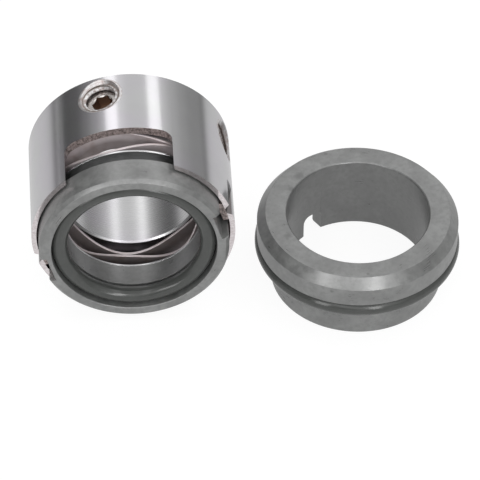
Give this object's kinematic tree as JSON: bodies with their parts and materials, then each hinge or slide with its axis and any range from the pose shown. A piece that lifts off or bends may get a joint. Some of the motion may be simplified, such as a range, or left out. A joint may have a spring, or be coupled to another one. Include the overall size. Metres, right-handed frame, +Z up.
{
  "type": "mechanical seal",
  "caption": "Pump shaft seal: a rotating head with drive collar, wave spring, seal ring and set screws, and its stationary seat with O-ring.",
  "frame": {"origin": "on the surface that the set lies on, below the middle of the box round the head and the seat", "axes": "+Z up, the seat's axis; +Y along the head's axis, from its sealing face to its back; +X from the head to the seat"},
  "size_m": [0.0916, 0.0438, 0.043],
  "materials": {
    "collar_steel": "fine turned and polished",
    "screw_steel": "machined",
    "spring_steel": "rolled strip",
    "washer_steel": "ground",
    "ring_carbide": "lapped, satin",
    "seat_carbide": "lapped, satin",
    "o_ring_rubber": "satin"
  },
  "bodies": {
    "collar_and_seat": {"drive_collar": "collar_steel", "wave_spring": "spring_steel", "stationary_seat": "seat_carbide", "seat_o_ring": "o_ring_rubber"},
    "floating_ring": {"seal_ring": "ring_carbide", "shaft_o_ring": "o_ring_rubber", "thrust_ring": "washer_steel"},
    "top_screw": {"top_set_screw": "screw_steel"},
    "side_screw": {"side_set_screw": "screw_steel"}
  },
  "joints": [
    {"name": "ring_slide", "type": "slide", "parent": "collar_and_seat", "child": "floating_ring", "axis": [0, 1, 0], "range_m": [0, 0.003], "stiffness_N_per_m": 4000, "deforming": ["wave_spring"]},
    {"name": "top_screw_slide", "type": "slide", "parent": "collar_and_seat", "child": "top_screw", "axis": [-0.2924, 0, 0.9563], "range_m": [-0.0003, 0.00125]},
    {"name": "side_screw_slide", "type": "slide", "parent": "collar_and_seat", "child": "side_screw", "axis": [0.9563, 0, 0.2924], "range_m": [-0.0003, 0.00125]}
  ]
}
